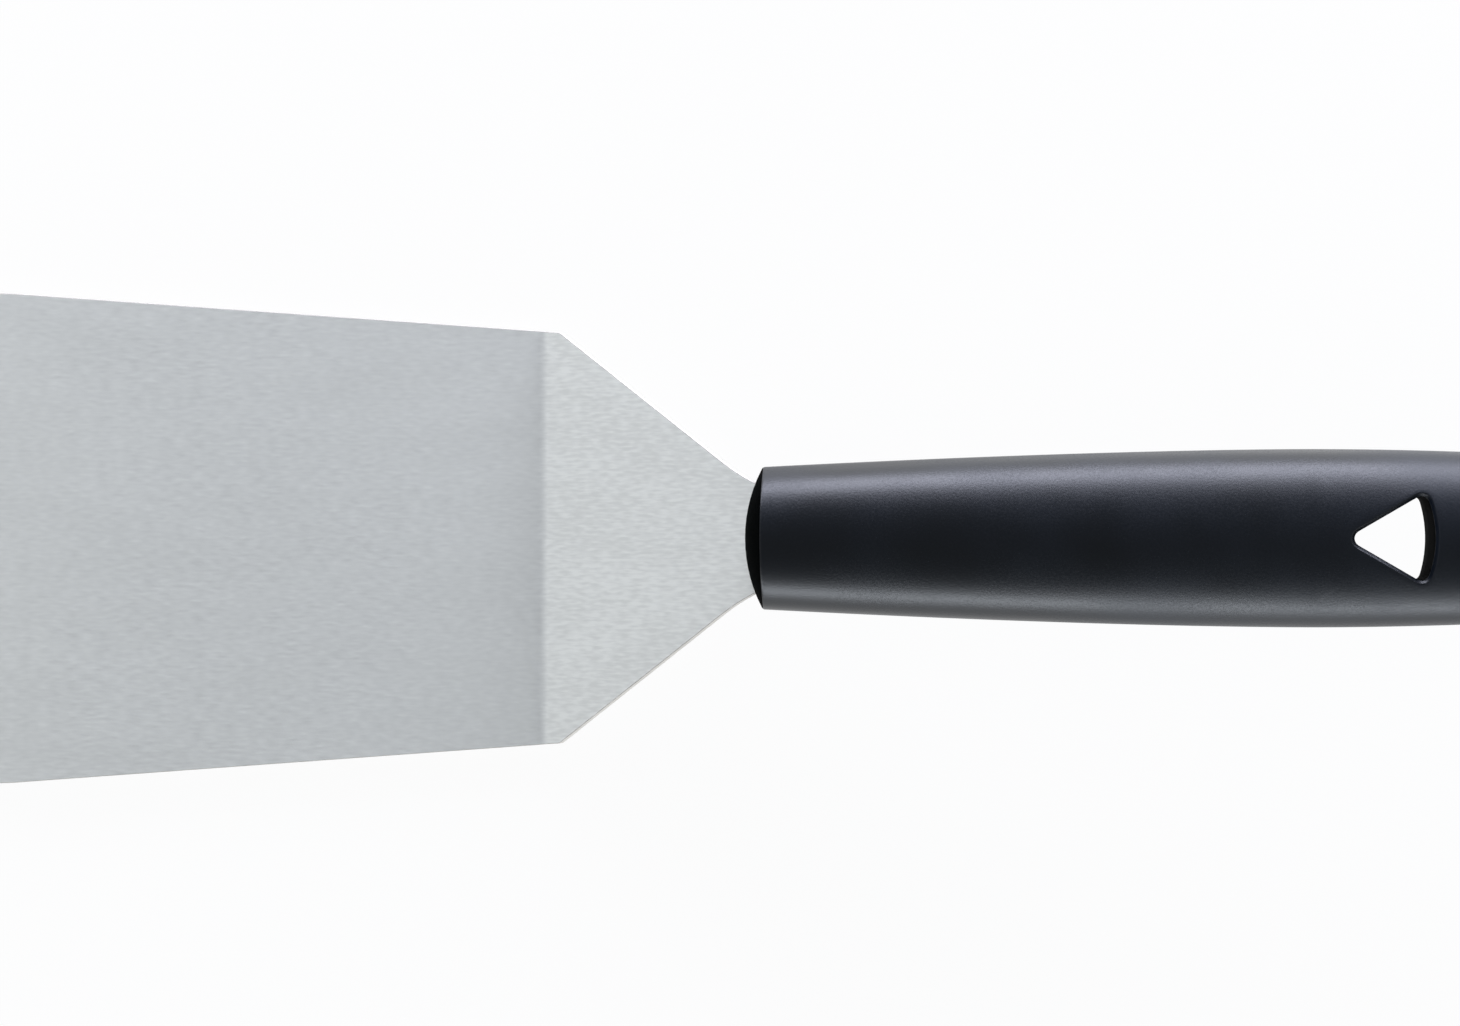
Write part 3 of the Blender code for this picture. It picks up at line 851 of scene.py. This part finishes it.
def white_ground():
    """Paper that looks nearly white to the camera and in reflections, whatever light falls on it."""
    finish, tree = new_finish("white_paper_ground")
    path = add(tree, "LightPath", {}).outputs
    glossy, through = path["Is Glossy Ray"], path["Is Transmission Ray"]
    seen = add(tree, "Math", {0: glossy, 1: through}, operation="MAXIMUM")
    seen = add(tree, "Math", {0: path["Is Camera Ray"], 1: seen.outputs[0]}, operation="MAXIMUM")
    share = add(tree, "Math", {0: seen.outputs[0], 1: GLOW_SHARE}, operation="MULTIPLY")
    paper = add(tree, "BsdfDiffuse", {"Color": linear("#F2F2F2")})
    glow = add(tree, "Emission", {"Color": linear("#FFFFFF"), "Strength": 1.0})
    ground = add(tree, "MixShader", {0: share.outputs[0], 1: paper.outputs[0], 2: glow.outputs[0]})
    add(tree, "OutputMaterial", {"Surface": ground.outputs[0]})
    return finish


print("share of the ground's own white:", GLOW_SHARE)

# %% Cove
FLOOR_DROP = 0.4  # keeps the floor clear of the blade's underside
COVE_RADIUS = 5000.0
COVE_CURVE = 1200.0
COVE_HEIGHT = 2200.0
COVE_SIDES = 96
COVE_STEPS = 16

cove_profile = [(COVE_RADIUS * i / COVE_STEPS, 0.0) for i in range(1, COVE_STEPS + 1)]
for i in range(1, COVE_STEPS + 1):
    turn = math.pi / 2 * i / COVE_STEPS
    cove_profile.append((COVE_RADIUS + COVE_CURVE * math.sin(turn), COVE_CURVE * (1 - math.cos(turn))))
cove_profile.append((COVE_RADIUS + COVE_CURVE, COVE_HEIGHT))
cove_shape = bmesh.new()
cove_rings = []
for radius, height in cove_profile:
    turns = [math.tau * i / COVE_SIDES for i in range(COVE_SIDES)]
    ring = [(radius * math.cos(t), radius * math.sin(t), height - FLOOR_DROP) for t in turns]
    cove_rings.append([cove_shape.verts.new(p) for p in ring])
join_rings(cove_shape, cove_rings)
cove_shape.faces.new(cove_rings[0])
cove = make_piece("white_cove", cove_shape)
cove.data.materials[0] = white_ground()
print("cove:", len(cove.data.polygons), "faces")

# %% [markdown]
# ## Soft light from both sides
# Black plastic shows its form only through reflections. A long softbox stands low at each side and draws
# one pale band along the grip, the left one brighter. A dimmer fill over it lets the band fade softly
# towards the grip's middle, and a thin strip nearer by carries the band further round the grip's edge.
# One large lamp overhead would be simpler, but it would turn the black grip grey. The lamps are set by
# the brightness that they show, because that is what a reflection repeats.

# %% Softboxes
WATTS_PER_RADIANCE = 4.0  # for each square metre of an area lamp
COOL_TUBE = "#E9ECFF"
DAYLIGHT_TUBE = "#EFF6FF"
NEUTRAL = "#FFFFFF"


def softbox(name, centre, aim, width, height, brightness, tint):
    """An area lamp, its sizes in millimetres, whose face shows this brightness."""
    lamp = bpy.data.lights.new(name, "AREA")
    lamp.shape = "RECTANGLE"
    lamp.size, lamp.size_y = width * MM, height * MM
    lamp.energy = brightness * WATTS_PER_RADIANCE * lamp.size * lamp.size_y
    lamp.color = linear(tint)[:3]
    box = bpy.data.objects.new(name, lamp)
    box.location = Vector(centre) * MM
    box.rotation_mode = "QUATERNION"
    box.rotation_quaternion = (Vector(aim) - Vector(centre)).to_track_quat("-Z", "Y")
    box.visible_camera = False
    bpy.context.scene.collection.objects.link(box)


for name, across, start, end, foot, top, brightness, tint in (
    ("left_strip", 560, -380, 750, 0, 214, 10.5, COOL_TUBE),
    ("left_fill", 560, 90, 750, 214, 470, 2.0, COOL_TUBE),
    ("left_foot", 280, 50, 440, 0, 30, 6.4, COOL_TUBE),
    ("right_strip", -560, -380, 450, 0, 114, 8.2, DAYLIGHT_TUBE),
    ("right_fill", -560, 120, 450, 114, 280, 1.5, DAYLIGHT_TUBE),
    ("right_foot", -280, 50, 290, 0, 17, 5.9, DAYLIGHT_TUBE),
):
    middle = Vector(((start + end) / 2, 0, (foot + top) / 2))
    softbox(name, middle + Vector((0, across, 0)), middle, end - start, top - foot, brightness, tint)
    print(f"{name}: {end - start} x {top - foot} mm")

# %% [markdown]
# ## Neutral light from the ends
# The side lamps alone would leave the steel dull and bluish. Two large neutral boxes, high beyond the tip
# and high beyond the butt, lift the shoulder and the blade from where the grip mirrors neither of them. A
# small dim box hangs low just beyond the tip, because the real blade is a little brighter there than at
# the fold. That slow change could be drawn into the steel's colour instead, but then it would stay under
# any other light. A weak glow lies on the floor beside the grip, facing up, and lightens only its left
# edge. The rest of the room is a dim even grey, which is what the grip's dark middle shows.

# %% Boxes at the ends and a dim room
for name, centre, aim, width, height, brightness in (
    ("tip_box", (-500, 0, 500), (50, 0, 0), 900, 350, 0.31),
    ("butt_box", (700, 0, 600), (50, 0, 0), 1000, 500, 0.3),
    ("tip_fill", (-100, 0, 120), (-100, 0, 0), 120, 160, 0.55),
    ("floor_glow", (160, 85, 2), (160, 85, 1000), 260, 110, 0.7),
):
    softbox(name, centre, aim, width, height, brightness, NEUTRAL)

world = bpy.data.worlds.new("dim_studio")
bpy.context.scene.world = world
world.use_nodes = True
room = world.node_tree.nodes["Background"].inputs
room["Color"].default_value = linear("#888B8F")
room["Strength"].default_value = 1.0

# %% [markdown]
# ## A black card before the nose
# The nose's dome faces the blade's tip and would mirror the white ground there. A photographer stands a
# black card just out of the picture to keep such a face dark. So does this scene: the camera doesn't see
# the card, and reflections do. Painting the dome blacker alone would fail as soon as the light changed,
# but the dome is also painted as shade, with the grip's rough second finish.

# %% Black card
CARD_PLACE = -300.0
CARD_HEIGHT = 250.0
CARD_HALF_WIDTH = 250.0

card_shape = bmesh.new()
card_corners = []
for side, height in ((-1, 0), (1, 0), (1, CARD_HEIGHT), (-1, CARD_HEIGHT)):
    card_corners.append(card_shape.verts.new((CARD_PLACE, side * CARD_HALF_WIDTH, height)))
card_shape.faces.new(card_corners)
card = make_piece("black_card", card_shape)
# Flocked paper gives back almost nothing
card.data.materials[0] = moulded_plastic("black_flocked_card", "#050505", "#080808", 0.9, 0.0, 100)
card.visible_camera = False
print("card:", [round(x / MM) for x in card.dimensions], "mm")

# %% [markdown]
# ## The camera
# The view is from straight above the handle with a long lens, so the handle lies square to it and the
# flat blade dips away by ten degrees. Blender's own framing tools fit a whole object into the frame, but
# here the tip and the butt are cut off. So the camera is placed from the crank line: its known place on
# the object, its pixel in the frame and the distance fix the eye, with no lens shift.

# %% Camera
FRAME_WIDTH, FRAME_HEIGHT = 1460, 1026
CRANK_PIXEL = (543.3, 538.0)
CAMERA_DISTANCE = 1266.0
LENS = 201.35
SENSOR = 36.0

right = Vector((math.cos(HANDLE_ANGLE), 0, math.sin(HANDLE_ANGLE)))
up = Vector((0, 1, 0))
towards = right.cross(up)
pixel = SENSOR / FRAME_WIDTH / LENS * CAMERA_DISTANCE
crank = Vector((BLADE_LENGTH / 2, 0, SHEET_THICKNESS / 2))
eye = crank + towards * CAMERA_DISTANCE
eye += right * pixel * (FRAME_WIDTH / 2 - CRANK_PIXEL[0])
eye += up * pixel * (CRANK_PIXEL[1] - FRAME_HEIGHT / 2)

camera_data = bpy.data.cameras.new("camera")
camera_data.lens, camera_data.sensor_width = LENS, SENSOR
camera = bpy.data.objects.new("camera", camera_data)
camera.matrix_world = Matrix.Translation(eye * MM) @ Matrix((right, up, towards)).transposed().to_4x4()
bpy.context.scene.collection.objects.link(camera)
bpy.context.scene.camera = camera
bpy.context.scene.view_settings.view_transform = "Standard"
print("camera at, mm:", [round(x) for x in eye])
